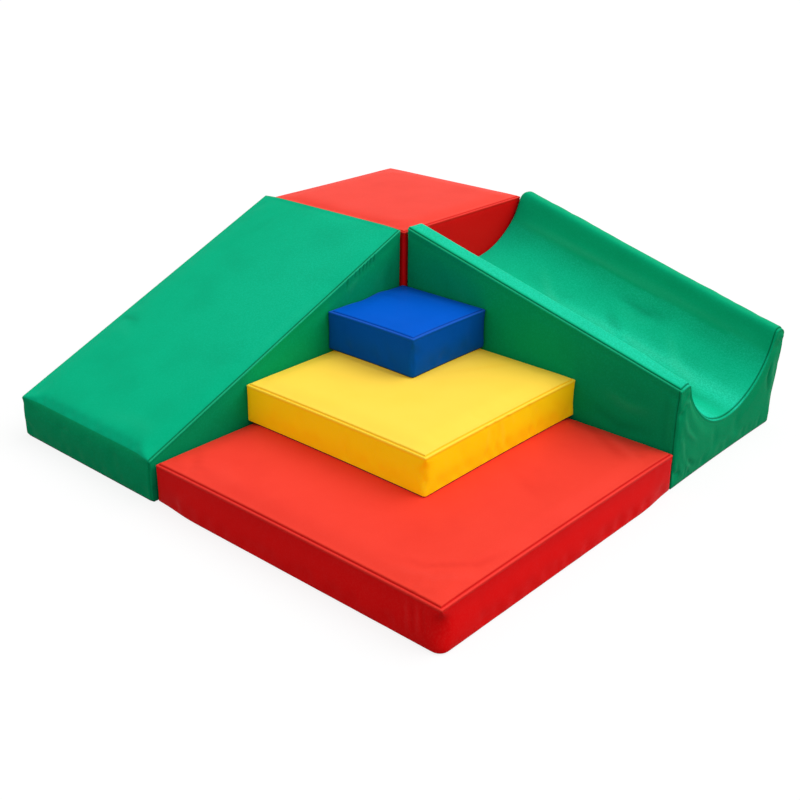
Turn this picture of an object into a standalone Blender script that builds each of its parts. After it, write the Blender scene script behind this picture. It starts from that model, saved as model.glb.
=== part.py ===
"""Soft play corner climber: a corner platform with a ramp, a half-round slide and three stacked steps.

Each of the six modules is a foam core in a sewn vinyl cover, closed below by a base sheet and at a hidden
side by a zip. Hook-and-loop strips hold the modules together. Metres, +Z up, and the origin lies on the
floor under the middle of the climber's outline. Seen from above, the corner block stands at the north-west
(-X, +Y), the ramp runs south from it (-Y), the slide runs east (+X), and the steps fill the corner between.
"""

import math

import bmesh
import bpy

# Cloth and clearances
TOUCH = 0.0003  # left between two pieces that touch
VINYL = 0.0012  # cover cloth with its backing
BASE_SHEET = 0.0018  # non-slip cloth under each module
STRIP_THICKNESS = 0.0025  # one half of a hook-and-loop pair
STRIP_EDGE = 0.004  # corner radius of a strip
JOIN = 2 * STRIP_THICKNESS + 3 * TOUCH  # between two covers that a pair of strips joins

# Sewn edges of a padded piece
EDGE_RADIUS = 0.010  # at the top seam
LEAST_RADIUS = 0.003  # of the ramp's sharp top edge near its sides
UPRIGHT_RADIUS = 0.020  # at the upright corners
CROWN = 0.008  # how far the middle of a top stands above its seam
CROWN_REACH = 0.075  # from the side to where the crown is full
CROWN_SPREAD = 0.6  # how fast the crown's corners open out, per length inwards
DRAWN_IN = 0.004  # how far a free side pulls in between its corners
DRAWN_SHARE = 0.84  # of the ramp's outer side that is drawn in, along each direction

# Corner block
CORNER_SIDE = 0.560
CORNER_HEIGHT = 0.5045

# Steps, from the floor up
STEP_HEIGHT = 0.115
LOW_SIDE = 0.914
MIDDLE_SIDE = 0.612
TOP_SIDE = 0.309
STEP_SETBACK = 0.004  # from a stacked step to the ramp and to the slide

# Ramp
RAMP_WIDTH = 0.570
RAMP_LENGTH = 0.922
RAMP_PROUD = 0.0065  # of the platform, where the slope's line ends
RAMP_LIP = 0.120  # height of the slope's line at the low end
RAMP_LIP_RADIUS = 0.038
RAMP_OVERHANG = 0.018  # past the corner block's west side

# Slide
SLIDE_WIDTH = 0.555
SLIDE_LENGTH = 0.906
SLIDE_PROUD = 0.0115  # of the platform, where the rims meet it
SLIDE_DROP = 0.236  # of the rims, from the platform to the low end
SLIDE_INSET = 0.001  # from the corner block's north side
RIM_WIDTH = 0.049  # beside the channel, each side
RIM_FLAT = 0.002  # least flat between the two rounds of a rim
CHANNEL_DEPTH = 0.165
INNER_RIM_RADIUS = 0.014
OUTER_RIM_RADIUS = 0.030
CHANNEL_RIM_RADIUS = 0.020
SLIDE_END_RADIUS = 0.010

# Hook-and-loop strips
STRIP_WIDTH = 0.050
RAMP_STRIP_LENGTH = 0.400
RAMP_STRIP_DROP = 0.1045  # its middle, below the platform
SLIDE_STRIP_LENGTH = 0.400
SLIDE_STRIP_RISE = 0.270  # under the channel's high end
STEP_STRIP_LENGTH = 0.600
STEP_STRIP_WIDTH = 0.038
STEP_STRIP_RISE = 0.066

# Zips
ZIP_TAPE_WIDTH = 0.024
ZIP_RISE = 0.026  # height of the chain above the module's base
ZIP_MARGIN = 0.090  # from each end of a zip to the module's upright corner
CHAIN_WIDTH = 0.006
CHAIN_PROUD = 0.0010
SLIDER_LENGTH = 0.014
SLIDER_WIDTH = 0.0105
SLIDER_PROUD = 0.0030
SLIDER_ROUND = 0.0006
SLIDER_REST = 0.010  # from the zip's end to the slider when the zip is shut

# Faces
SIDE_FACES = 5
UPRIGHT_FACES = 3
EDGE_FACES = 3
CROWN_FACES = 3
LIP_FACES = 4
PEAK_FACES = 3
RIM_FACES = 4
CHANNEL_FACES = 14
STRIP_FACES = 3
SHARP_ANGLE = 35  # degrees, above which an edge is shaded sharp

# Colours, as linear red, green and blue
RED = (0.62, 0.012, 0.014)
GREEN = (0.005, 0.235, 0.105)
YELLOW = (0.92, 0.52, 0.010)
BLUE = (0.010, 0.065, 0.34)
FOAM = (0.80, 0.76, 0.62)
BASE = (0.035, 0.036, 0.040)
HOOK = (0.022, 0.022, 0.024)
LOOP = (0.030, 0.030, 0.033)
TAPE = (0.030, 0.030, 0.032)
SLIDER = (0.42, 0.42, 0.43)

# Roughness
CLOTH_ROUGH = 0.38
BASE_ROUGH = 0.80
FOAM_ROUGH = 0.95
TAPE_ROUGH = 0.75
STRIP_ROUGH = 0.90
SLIDER_ROUGH = 0.30

# Worked out from the sizes above
RAMP_HEIGHT = CORNER_HEIGHT + RAMP_PROUD
SLIDE_HEIGHT = CORNER_HEIGHT + SLIDE_PROUD
CHANNEL_OPENING = SLIDE_WIDTH - 2 * RIM_WIDTH
RAMP_STRIP_RISE = CORNER_HEIGHT - RAMP_STRIP_DROP

# Turns about Z that bring a piece made facing south round to each wall
FACING = {"south": 0.0, "east": 90.0, "north": 180.0, "west": 270.0}


# Outlines
def arc(across, up, radius, start, end, faces):
    """Points on an arc about (across, up), from the start angle to the end angle in degrees."""
    angles = [math.radians(start + (end - start) * i / faces) for i in range(faces + 1)]
    return [(across + radius * math.cos(a), up + radius * math.sin(a)) for a in angles]


def inset(points, distance):
    """An open outline moved to its right-hand side. Its first and last points move squarely."""
    normals = []
    for (x0, y0), (x1, y1) in zip(points, points[1:]):
        length = math.hypot(x1 - x0, y1 - y0)
        normals.append(((y1 - y0) / length, (x0 - x1) / length))
    moved = []
    for i, (x, y) in enumerate(points):
        before = normals[max(i - 1, 0)]
        after = normals[min(i, len(normals) - 1)]
        scale = distance / (1 + before[0] * after[0] + before[1] * after[1])
        moved.append((x + scale * (before[0] + after[0]), y + scale * (before[1] + after[1])))
    return moved


def sewn_edge(top, radius, crown):
    """From a side wall over the seam to the crown's flat: (distance from the side, height)."""
    seam = top - crown
    points = arc(radius, seam - radius, radius, 180, 90, EDGE_FACES)
    if crown:
        for i in range(1, CROWN_FACES + 1):
            share = i / CROWN_FACES
            inward = radius + (CROWN_REACH - radius) * share
            points.append((inward, seam + crown * math.sin(share * math.pi / 2)))
    return points


def across_sides(width, radius, crown, skin):
    """Stations from one side of a module to the other: (place across it, depth under its full outline)."""
    rise = sewn_edge(0, radius, crown)
    fall = [(width - across, height) for across, height in reversed(rise)]
    wall = -2 * (radius + crown)
    outline = [(0, wall)] + rise + fall + [(width, wall)]
    return [(across, -height) for across, height in inset(outline, skin)[1:-1]]


def upright_radius(inward):
    """The radius in plan of a ring that lies this far in from the sides."""
    if inward < EDGE_RADIUS:
        return UPRIGHT_RADIUS - inward
    return UPRIGHT_RADIUS - EDGE_RADIUS + CROWN_SPREAD * (inward - EDGE_RADIUS)


def rounded_square(side, inward, radius, drawn):
    """A ring in plan, anticlockwise from the south-west. drawn holds each side's draw, south first."""
    low, high = inward + radius, side - inward - radius
    middles = [(low, low), (high, low), (high, high), (low, high)]
    corners = [
        arc(x, y, radius, 180 + 90 * i, 270 + 90 * i, UPRIGHT_FACES)
        for i, (x, y) in enumerate(middles)
    ]
    inwards = [(0, 1), (-1, 0), (0, -1), (1, 0)]
    ring = []
    for i in range(4):
        ring += corners[i]
        (x0, y0), (x1, y1) = corners[i][-1], corners[(i + 1) % 4][0]
        for step in range(1, SIDE_FACES):
            share = step / SIDE_FACES
            draw = drawn[i] * (1 - (2 * share - 1) ** 2)
            ring.append(
                (
                    x0 + (x1 - x0) * share + inwards[i][0] * draw,
                    y0 + (y1 - y0) * share + inwards[i][1] * draw,
                )
            )
    return ring


# Skins: each lays an open-bottomed surface into a mesh and returns the loop round its foot
def block_skin(mesh, side, height, drawn, skin):
    """The surface of a square block, skin metres inside its outer one."""
    foot = BASE_SHEET + TOUCH
    profile = [(0, foot)] + sewn_edge(height, EDGE_RADIUS, CROWN)
    rings = []
    for inward, up in inset(profile, skin):
        ring = rounded_square(side, inward, upright_radius(inward), drawn)
        rings.append([mesh.verts.new((x, y, up)) for x, y in ring])
    for below, above in zip(rings, rings[1:]):
        for i in range(len(below)):
            j = (i + 1) % len(below)
            mesh.faces.new((below[i], below[j], above[j], above[i]))
    mesh.faces.new(rings[-1])
    return rings[0]


def lofted_skin(mesh, sections, drawn_end=0):
    """The surface through open sections that each rise from the foot and come back down to it.

    The first section's end face sinks in by drawn_end, along X, inside a sloping margin.
    """
    rows = [[mesh.verts.new(point) for point in section] for section in sections]
    for one, other in zip(rows, rows[1:]):
        for i in range(len(one) - 1):
            mesh.faces.new((one[i], one[i + 1], other[i + 1], other[i]))
    mesh.faces.new(rows[-1])
    end = mesh.faces.new(rows[0])
    if drawn_end:
        middle = end.calc_center_median_weighted()
        mesh.faces.remove(end)
        panel = [mesh.verts.new(middle.lerp(vertex.co, DRAWN_SHARE)) for vertex in rows[0]]
        for i in range(len(panel)):
            panel[i].co.x += drawn_end
            j = (i + 1) % len(panel)
            mesh.faces.new((rows[0][i], rows[0][j], panel[j], panel[i]))
        mesh.faces.new(panel)
    return [row[0] for row in rows] + [row[-1] for row in reversed(rows)]


def ramp_outline(depth):
    """The ramp seen from the east, this deep under its surface, from its low end (south): (y, z)."""
    foot = BASE_SHEET + TOUCH
    slope = math.atan2(RAMP_HEIGHT - RAMP_LIP, RAMP_LENGTH)
    steep = math.degrees(slope)
    lip_radius = RAMP_LIP_RADIUS - depth
    peak_radius = max(EDGE_RADIUS - depth, LEAST_RADIUS)

    def under_slope(along, radius):
        """Height of the middle of a fillet of this radius that touches the slope above it."""
        return RAMP_LIP + math.tan(slope) * along - (depth + radius) / math.cos(slope)

    low, high = depth + lip_radius, RAMP_LENGTH - depth - peak_radius
    lip = arc(low, under_slope(low, lip_radius), lip_radius, 180, 90 + steep, LIP_FACES)
    peak = arc(high, under_slope(high, peak_radius), peak_radius, 90 + steep, 0, PEAK_FACES)
    return [(depth, foot)] + lip + peak + [(RAMP_LENGTH - depth, foot)]


def ramp_skin(mesh, skin):
    """The ramp's surface: its side view, carried across from west to east."""
    sections = []
    for across, depth in across_sides(RAMP_WIDTH, EDGE_RADIUS, CROWN, skin):
        sections.append([(across, y, z) for y, z in ramp_outline(depth)])
    return lofted_skin(mesh, sections, DRAWN_IN)


def channel_radius():
    """The half-round channel's radius, from its opening and its depth."""
    return (CHANNEL_OPENING**2 / 4 + CHANNEL_DEPTH**2) / (2 * CHANNEL_DEPTH)


def slide_outline(rim):
    """The slide's section, from its inner side (south) to its outer side, for this height of its rims."""
    foot = BASE_SHEET + TOUCH
    radius = channel_radius()
    middle = SLIDE_WIDTH / 2
    lift = radius - CHANNEL_DEPTH + CHANNEL_RIM_RADIUS
    reach = math.sqrt((radius + CHANNEL_RIM_RADIUS) ** 2 - lift**2)
    turn = math.degrees(math.atan2(lift, reach))
    shoulder = rim - CHANNEL_RIM_RADIUS
    room = middle - reach - RIM_FLAT
    inner_round, outer_round = min(INNER_RIM_RADIUS, room), min(OUTER_RIM_RADIUS, room)
    inner = arc(inner_round, rim - inner_round, inner_round, 180, 90, EDGE_FACES)
    entry = arc(middle - reach, shoulder, CHANNEL_RIM_RADIUS, 90, turn, RIM_FACES)
    channel = arc(middle, rim - CHANNEL_DEPTH + radius, radius, 180 + turn, 360 - turn, CHANNEL_FACES)
    leave = arc(middle + reach, shoulder, CHANNEL_RIM_RADIUS, 180 - turn, 90, RIM_FACES)
    outer = arc(SLIDE_WIDTH - outer_round, rim - outer_round, outer_round, 90, 0, RIM_FACES)
    return [(0, foot)] + inner + entry + channel[1:-1] + leave + outer + [(SLIDE_WIDTH, foot)]


def slide_skin(mesh, skin):
    """The slide's surface: its section, carried down from the platform (west) to its low end."""
    sections = []
    for along, depth in across_sides(SLIDE_LENGTH, SLIDE_END_RADIUS, 0, skin):
        rim = SLIDE_HEIGHT - SLIDE_DROP * along / SLIDE_LENGTH
        sections.append([(along, y, z) for y, z in inset(slide_outline(rim), depth)])
    return lofted_skin(mesh, sections)


# Objects
def finish_of(obj, colour, roughness, metallic):
    """Gives an object its own material."""
    material = bpy.data.materials.new(obj.name)
    material.use_nodes = True
    shader = material.node_tree.nodes["Principled BSDF"]
    shader.inputs["Base Color"].default_value = (*colour, 1)
    shader.inputs["Roughness"].default_value = roughness
    shader.inputs["Metallic"].default_value = metallic
    obj.data.materials.append(material)


def make_object(name, mesh, parent, colour, roughness, metallic=0):
    """Turns a bmesh into a smooth-shaded object under its parent."""
    bmesh.ops.recalc_face_normals(mesh, faces=mesh.faces)
    if mesh.calc_volume(signed=True) < 0:
        bmesh.ops.reverse_faces(mesh, faces=mesh.faces)
    data = bpy.data.meshes.new(name)
    mesh.to_mesh(data)
    mesh.free()
    data.shade_smooth()
    data.set_sharp_from_angle(angle=math.radians(SHARP_ANGLE))
    obj = bpy.data.objects.new(name, data)
    bpy.context.scene.collection.objects.link(obj)
    obj.parent = parent
    finish_of(obj, colour, roughness, metallic)
    return obj


def make_empty(name, location, parent=None):
    empty = bpy.data.objects.new(name, None)
    empty.location = location
    empty.parent = parent
    bpy.context.scene.collection.objects.link(empty)
    return empty


def stand_on_wall(obj, location, facing):
    """Lays a piece made flat, with its outside up, against an upright face."""
    obj.location = location
    obj.rotation_euler = (math.radians(90), 0, math.radians(FACING[facing]))
    return obj


def sew_module(name, module, colour, lay_skin):
    """The foam core, cover and base sheet of one module. lay_skin(mesh, skin) lays its surface."""
    core = bmesh.new()
    core.faces.new(lay_skin(core, VINYL + TOUCH))
    make_object(f"{name}_foam_core", core, module, FOAM, FOAM_ROUGH)

    cover = bmesh.new()
    outside = lay_skin(cover, 0)
    inside = lay_skin(cover, VINYL)
    for i in range(len(outside)):
        j = (i + 1) % len(outside)
        cover.faces.new((outside[i], outside[j], inside[j], inside[i]))
    cover_object = make_object(f"{name}_cover", cover, module, colour, CLOTH_ROUGH)

    base = bmesh.new()
    traced = bmesh.new()
    foot = [(v.co.x, v.co.y) for v in lay_skin(traced, 0)]
    traced.free()
    lower = [base.verts.new((x, y, 0)) for x, y in foot]
    upper = [base.verts.new((x, y, BASE_SHEET)) for x, y in foot]
    base.faces.new(lower)
    base.faces.new(upper)
    for i in range(len(foot)):
        j = (i + 1) % len(foot)
        base.faces.new((lower[i], lower[j], upper[j], upper[i]))
    make_object(f"{name}_base_panel", base, module, BASE, BASE_ROUGH)
    return cover_object


def add_strip(name, module, location, facing, length, width, colour):
    """One half of a hook-and-loop pair, on an upright face whose point under its middle is given."""
    long, wide = length / 2 - STRIP_EDGE, width / 2 - STRIP_EDGE
    outline = []
    for i, (x, y) in enumerate([(long, wide), (-long, wide), (-long, -wide), (long, -wide)]):
        outline += arc(x, y, STRIP_EDGE, 90 * i, 90 * i + 90, STRIP_FACES)
    strip = bmesh.new()
    lower = [strip.verts.new((x, y, TOUCH)) for x, y in outline]
    upper = [strip.verts.new((x, y, TOUCH + STRIP_THICKNESS)) for x, y in outline]
    strip.faces.new(lower)
    strip.faces.new(upper)
    for i in range(len(outline)):
        j = (i + 1) % len(outline)
        strip.faces.new((lower[i], lower[j], upper[j], upper[i]))
    stand_on_wall(make_object(name, strip, module, colour, STRIP_ROUGH), location, facing)


def add_zip(name, module, cover, location, facing, length):
    """A zip let into the cover: its tape with the chain, and its slider without a pull.

    location is the chain's middle on the cover's outer face.
    """
    window = bmesh.new()
    bmesh.ops.create_cube(window, size=1)
    bmesh.ops.scale(window, vec=(length, ZIP_TAPE_WIDTH, 4 * VINYL), verts=window.verts)
    cutter = make_object(f"{name}_zip_window", window, module, TAPE, TAPE_ROUGH)
    stand_on_wall(cutter, location, facing)
    cutter.hide_render = True
    cutter.display_type = "WIRE"
    cut = cover.modifiers.new("zip_window", "BOOLEAN")
    cut.operation = "DIFFERENCE"
    cut.solver = "EXACT"
    cut.object = cutter

    half_tape, half_chain = ZIP_TAPE_WIDTH / 2 - TOUCH, CHAIN_WIDTH / 2
    section = [
        (-half_tape, -VINYL),
        (half_tape, -VINYL),
        (half_tape, 0),
        (half_chain, 0),
        (half_chain, CHAIN_PROUD),
        (-half_chain, CHAIN_PROUD),
        (-half_chain, 0),
        (-half_tape, 0),
    ]
    tape = extruded(section, length - 2 * TOUCH)
    stand_on_wall(make_object(f"{name}_zipper", tape, module, TAPE, TAPE_ROUGH), location, facing)

    half_slider, half_groove = SLIDER_WIDTH / 2, CHAIN_WIDTH / 2 + TOUCH
    section = [
        (-half_slider, TOUCH),
        (-half_groove, TOUCH),
        (-half_groove, CHAIN_PROUD + TOUCH),
        (half_groove, CHAIN_PROUD + TOUCH),
        (half_groove, TOUCH),
        (half_slider, TOUCH),
        (half_slider, SLIDER_PROUD - SLIDER_ROUND),
        (half_slider - SLIDER_ROUND, SLIDER_PROUD),
        (SLIDER_ROUND - half_slider, SLIDER_PROUD),
        (-half_slider, SLIDER_PROUD - SLIDER_ROUND),
    ]
    body = extruded(section, SLIDER_LENGTH)
    slider = make_object(f"{name}_zip_slider", body, module, SLIDER, SLIDER_ROUGH, 1)
    stand_on_wall(slider, location, facing)
    along = math.radians(FACING[facing])
    back = length / 2 - SLIDER_REST - SLIDER_LENGTH / 2
    slider.location.x -= back * math.cos(along)
    slider.location.y -= back * math.sin(along)


def extruded(section, length):
    """A prism along X, centred, whose section is given as (y, z)."""
    mesh = bmesh.new()
    ends = [[mesh.verts.new((side * length / 2, y, z)) for y, z in section] for side in (-1, 1)]
    for end in ends:
        mesh.faces.new(end)
    for i in range(len(section)):
        j = (i + 1) % len(section)
        mesh.faces.new((ends[0][i], ends[0][j], ends[1][j], ends[1][i]))
    return mesh


# Modules
def build_corner(climber):
    module = make_empty("corner_block", (0, -CORNER_SIDE, 0), climber)
    drawn = (0, 0, 0, DRAWN_IN)
    cover = sew_module(
        "corner", module, RED, lambda mesh, skin: block_skin(mesh, CORNER_SIDE, CORNER_HEIGHT, drawn, skin)
    )
    middle = CORNER_SIDE / 2
    zip_length = CORNER_SIDE - 2 * ZIP_MARGIN
    add_zip("corner", module, cover, (middle, CORNER_SIDE, ZIP_RISE), "north", zip_length)
    add_strip(
        "corner_loop_strip_for_ramp",
        module,
        (middle, 0, RAMP_STRIP_RISE),
        "south",
        RAMP_STRIP_LENGTH,
        STRIP_WIDTH,
        LOOP,
    )
    add_strip(
        "corner_loop_strip_for_slide",
        module,
        (CORNER_SIDE, middle, SLIDE_STRIP_RISE),
        "east",
        SLIDE_STRIP_LENGTH,
        STRIP_WIDTH,
        LOOP,
    )


def build_ramp(climber):
    module = make_empty("ramp", (-RAMP_OVERHANG, -CORNER_SIDE - JOIN - RAMP_LENGTH, 0), climber)
    cover = sew_module("ramp", module, GREEN, ramp_skin)
    zip_length = RAMP_WIDTH - 2 * ZIP_MARGIN
    add_zip("ramp", module, cover, (RAMP_WIDTH / 2, RAMP_LENGTH, ZIP_RISE), "north", zip_length)
    add_strip(
        "ramp_hook_strip_for_corner",
        module,
        (CORNER_SIDE / 2 + RAMP_OVERHANG, RAMP_LENGTH, RAMP_STRIP_RISE),
        "north",
        RAMP_STRIP_LENGTH,
        STRIP_WIDTH,
        HOOK,
    )
    add_strip(
        "ramp_loop_strip_for_step",
        module,
        (RAMP_WIDTH, step_strip_y() - module.location.y, STEP_STRIP_RISE),
        "east",
        STEP_STRIP_LENGTH,
        STEP_STRIP_WIDTH,
        LOOP,
    )


def build_slide(climber):
    module = make_empty("slide", (CORNER_SIDE + JOIN, slide_south(), 0), climber)
    cover = sew_module("slide", module, GREEN, slide_skin)
    zip_length = SLIDE_WIDTH - 2 * ZIP_MARGIN
    add_zip("slide", module, cover, (0, SLIDE_WIDTH / 2, ZIP_RISE), "west", zip_length)
    add_strip(
        "slide_hook_strip_for_corner",
        module,
        (0, -CORNER_SIDE / 2 - module.location.y, SLIDE_STRIP_RISE),
        "west",
        SLIDE_STRIP_LENGTH,
        STRIP_WIDTH,
        HOOK,
    )
    add_strip(
        "slide_loop_strip_for_step",
        module,
        (step_strip_x() - module.location.x, 0, STEP_STRIP_RISE),
        "south",
        STEP_STRIP_LENGTH,
        STEP_STRIP_WIDTH,
        LOOP,
    )


def ramp_east():
    """The ramp's inner side, from the corner block's west side."""
    return RAMP_WIDTH - RAMP_OVERHANG


def slide_south():
    """The slide's inner side, from the corner block's north side."""
    return -SLIDE_INSET - SLIDE_WIDTH


def step_strip_x():
    """The middle of the strips between the low step and the slide."""
    return ramp_east() + JOIN + LOW_SIDE / 2


def step_strip_y():
    """The middle of the strips between the low step and the ramp."""
    return slide_south() - JOIN - LOW_SIDE / 2


def build_step(climber, name, side, level, clear, colour):
    """One square step. clear is its distance from the ramp and from the slide."""
    base = level * (STEP_HEIGHT + TOUCH)
    module = make_empty(name, (ramp_east() + clear, slide_south() - clear - side, base), climber)
    drawn = (DRAWN_IN, DRAWN_IN, 0, 0)
    cover = sew_module(
        name, module, colour, lambda mesh, skin: block_skin(mesh, side, STEP_HEIGHT, drawn, skin)
    )
    zip_length = side - 2 * ZIP_MARGIN
    add_zip(name, module, cover, (side / 2, side, ZIP_RISE), "north", zip_length)
    return module


def build_low_step(climber):
    module = build_step(climber, "low_step", LOW_SIDE, 0, JOIN, RED)
    middle = LOW_SIDE / 2
    for name, location, facing in (
        ("low_step_hook_strip_for_ramp", (0, middle, STEP_STRIP_RISE), "west"),
        ("low_step_hook_strip_for_slide", (middle, LOW_SIDE, STEP_STRIP_RISE), "north"),
    ):
        add_strip(name, module, location, facing, STEP_STRIP_LENGTH, STEP_STRIP_WIDTH, HOOK)


def outline_middle():
    """The middle of the climber's outline in plan, from the corner block's north-west corner."""
    west = min(0, -RAMP_OVERHANG)
    east = max(CORNER_SIDE + JOIN + SLIDE_LENGTH, ramp_east() + JOIN + LOW_SIDE)
    north = max(SLIDER_PROUD, -SLIDE_INSET)
    south = min(-CORNER_SIDE - JOIN - RAMP_LENGTH, slide_south() - JOIN - LOW_SIDE)
    return (west + east) / 2, (south + north) / 2


def main():
    for obj in list(bpy.data.objects):
        bpy.data.objects.remove(obj, do_unlink=True)
    middle_x, middle_y = outline_middle()
    climber = make_empty("climber", (-middle_x, -middle_y, 0))
    build_corner(climber)
    build_ramp(climber)
    build_slide(climber)
    build_low_step(climber)
    build_step(climber, "middle_step", MIDDLE_SIDE, 1, STEP_SETBACK, YELLOW)
    build_step(climber, "top_step", TOP_SIDE, 2, STEP_SETBACK, BLUE)


main()
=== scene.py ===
"""Looks of the soft play corner climber: sewn vinyl covers over foam, zips, strips, base sheets and studio.

Each cover is laid out as a lattice over its module's box, filled by a cloth simulation, carried to a finer
lattice and then given its seams, gathers and folds. Metres, +Z up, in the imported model's frame.
"""

import math

import bpy
import numpy as np
from mathutils import Matrix, Vector


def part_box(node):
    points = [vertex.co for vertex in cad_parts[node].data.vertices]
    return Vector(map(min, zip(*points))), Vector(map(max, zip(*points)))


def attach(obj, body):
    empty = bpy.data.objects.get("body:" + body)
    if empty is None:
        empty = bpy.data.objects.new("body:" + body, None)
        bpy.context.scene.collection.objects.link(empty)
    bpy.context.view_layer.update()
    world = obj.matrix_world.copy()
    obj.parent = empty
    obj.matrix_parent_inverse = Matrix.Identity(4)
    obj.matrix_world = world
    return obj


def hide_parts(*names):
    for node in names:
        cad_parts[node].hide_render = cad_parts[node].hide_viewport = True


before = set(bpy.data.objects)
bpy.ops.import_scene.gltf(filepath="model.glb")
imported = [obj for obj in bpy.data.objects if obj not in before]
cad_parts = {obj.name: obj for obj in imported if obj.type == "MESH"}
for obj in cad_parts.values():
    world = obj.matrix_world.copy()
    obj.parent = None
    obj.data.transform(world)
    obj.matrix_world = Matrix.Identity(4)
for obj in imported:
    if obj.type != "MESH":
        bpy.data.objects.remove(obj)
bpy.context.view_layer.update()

# Sewn covers
FOOT = 0.0021  # from a module's base to the bottom of its cover
HEM_DROP = 0.0003  # of a cover's hem below its bottom, round the base sheet
CROWN = 0.008  # how far the middle of a top stands above its seam
CROWN_REACH = 0.075  # from the side to where the crown is full
LEDGE = 0.0060  # width of the sewn edge that stands outside a top
LEDGE_DROP = 0.0034  # of that edge below the top
LEDGE_RUN = 0.0022  # over which the top falls to it
STITCH_LINE = 0.15  # share of that run from the ledge to the stitches
BEAD = 0.0006  # height of the bead along the ledge
GROOVE = 0.0010  # depth of the line of stitches
PLUMP = 0.0007  # height of the top's plump edge beside it
WALL_BEAD = 0.0004  # the same on the side wall, below the edge
WALL_GROOVE = 0.0008
GATHER = 0.00045  # height of a gather beside a seam
GATHER_LENGTHS = (0.022, 0.060)  # the shortest and the longest
GATHER_PATCHES = (0.15, 0.40)  # over which they come and go
WALL_GATHERS = 0.8  # share of them on the side walls
DRIFT = 0.00035  # height of the slow waves of a panel
DRIFT_LENGTHS = (0.16, 0.50)
FOLD_SINK = 0.30  # how much the cloth on both sides of a fold goes the other way
FOLD_SINK_REACH = 2.4  # in widths of the fold
DARK_DEPTH = 0.0026  # of a fold that is fully shaded
PALE_HEIGHT = 0.0020  # of a fold that takes the full painted highlight
FOLD = 0.0026  # radius of a sewn edge
HEM = 0.0026  # radius of a cover's bottom edge
BASE_INSET = 0.0020  # of a base sheet inside its cover's sides
DRAWN_IN = 0.003  # how far a free side pulls in between its corners
DRAWN_REACH = 0.10  # over which that fades into the module
STITCH = 0.0042  # length of one stitch with its gap
UNDER_STEP = 0.0004  # room left under a step that rests on another
UPRIGHT_SEAM = 0.0060  # from a sewn upright edge to its stitches
UPRIGHT_GROOVE = 0.0022  # depth of those stitches
UPRIGHT_UNEVEN = (0.030, 0.110)  # lengths over which it varies
SEAM_SIGHT = 0.02  # the furthest from a seam that the vinyl's look needs to know
MM = 1000  # in a metre

# Lattice rows below a sewn edge and above the hem, and on the coarse lattices
WALL_ROWS = (0.0, 0.0014, 0.0030, 0.0050, 0.0078, 0.0120, 0.0190, 0.0290)
HEM_ROWS = (0.0, 0.0004, 0.0013, 0.0026, 0.0060, 0.0104, 0.0118, 0.0200, 0.0280, 0.0360, 0.0374, 0.0460)
SLACK_ROWS = (0.0, 0.012, 0.036)
SLACK_WALL_ROWS = (0.0, 0.010, 0.029)
SLACK_HEM_ROWS = (0.0, 0.014, 0.046)

# Filling
CLOTH_STEP = 0.020
CLOTH_FRAMES = 20
CLOTH_SLACK = 0.012  # how much larger a cover is cut than its foam
CLOTH = dict(
    quality=6,
    mass=0.35,
    tension_stiffness=20,
    compression_stiffness=20,
    shear_stiffness=8,
    bending_stiffness=0.8,
    use_pressure=True,
    uniform_pressure_force=4.0,
    shrink_min=-CLOTH_SLACK,
)
SEAM_HOLD = 0.004  # from a sewn edge to where the cloth starts to move
SEAM_FADE = 0.050  # over which it comes to move freely
HELD_STILL = 0.0002  # the most that a held panel moves
CORE_STEP = 0.035
CORE_DEPTH = 0.004  # of a foam core under its cover's face

# Ramp and slide
RAMP_LIP = 0.120
RAMP_LIP_SHARP = 0.003  # radius of the low end's edge at its side seams
RAMP_LIP_SOFT = 0.034  # and between them
RAMP_RISE = 0.391 / 0.922  # of its slope, per length
RIM_FALL = 0.236 / 0.906  # of the slide's rims, per length
INNER_RIM = 0.066  # from the side to where the channel's curve begins
OUTER_RIM = 0.054
RIM_LIP = 0.007  # radius from a rim into the channel
CHANNEL_DEPTH = 0.165
OUTER_RIM_RADIUS = 0.028
OUTER_RIM_END = 0.024  # radius of its end at the platform
RIM_BULGE_HIGH, RIM_BULGE_LOW = 0.045, 0.028  # how far the outer rim leans out at each end
OUTER_RIM_RISE = 0.006
RIM_FLARE = 0.017  # of the inner rim's edge at the low end
RIM_FLARE_RISE = 0.005

# Vinyl: the top's colour, the painted shade of seams and fold hollows, a copy toned for the side walls' light
# (painted shade), and the painted sheen
RED = ((0.93, 0.050, 0.028), (0.62, 0.002, 0.002), (0.92, 0.002, 0.003), (0.95, 0.10, 0.08))
GREEN = ((0.001, 0.49, 0.240), (0.001, 0.14, 0.050), (0.001, 0.34, 0.125), (0.018, 0.72, 0.460))
YELLOW = ((1.00, 0.70, 0.075), (0.94, 0.50, 0.004), (1.00, 0.76, 0.001), (1.00, 0.76, 0.10))
BLUE = ((0.001, 0.112, 0.66), (0.001, 0.045, 0.30), (0.001, 0.086, 0.47), (0.01, 0.14, 0.70))
YELLOW_PAINTED_GLOW = (0.15, 0.07, 0.0)  # painted glow: the yellow vinyl gives off light though it is no lamp

# Other finishes: each colour, and the one that it is mixed with
FOAM = ((0.80, 0.76, 0.62), (0.62, 0.57, 0.42))
BASE_CLOTH = ((0.026, 0.027, 0.030), (0.060, 0.061, 0.065))
HOOK_TAPE = (0.022, 0.022, 0.024)
LOOP_TAPE = (0.030, 0.030, 0.033)
ZIP_TAPE = ((0.030, 0.030, 0.032), (0.060, 0.060, 0.064))
ZIP_NYLON = ((0.020, 0.020, 0.022), (0.052, 0.052, 0.056))
SLIDER_METAL = ((0.42, 0.42, 0.43), (0.24, 0.24, 0.26))
HOOK_PITCH = 0.0016
LOOP_PITCH = 0.0024

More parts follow.
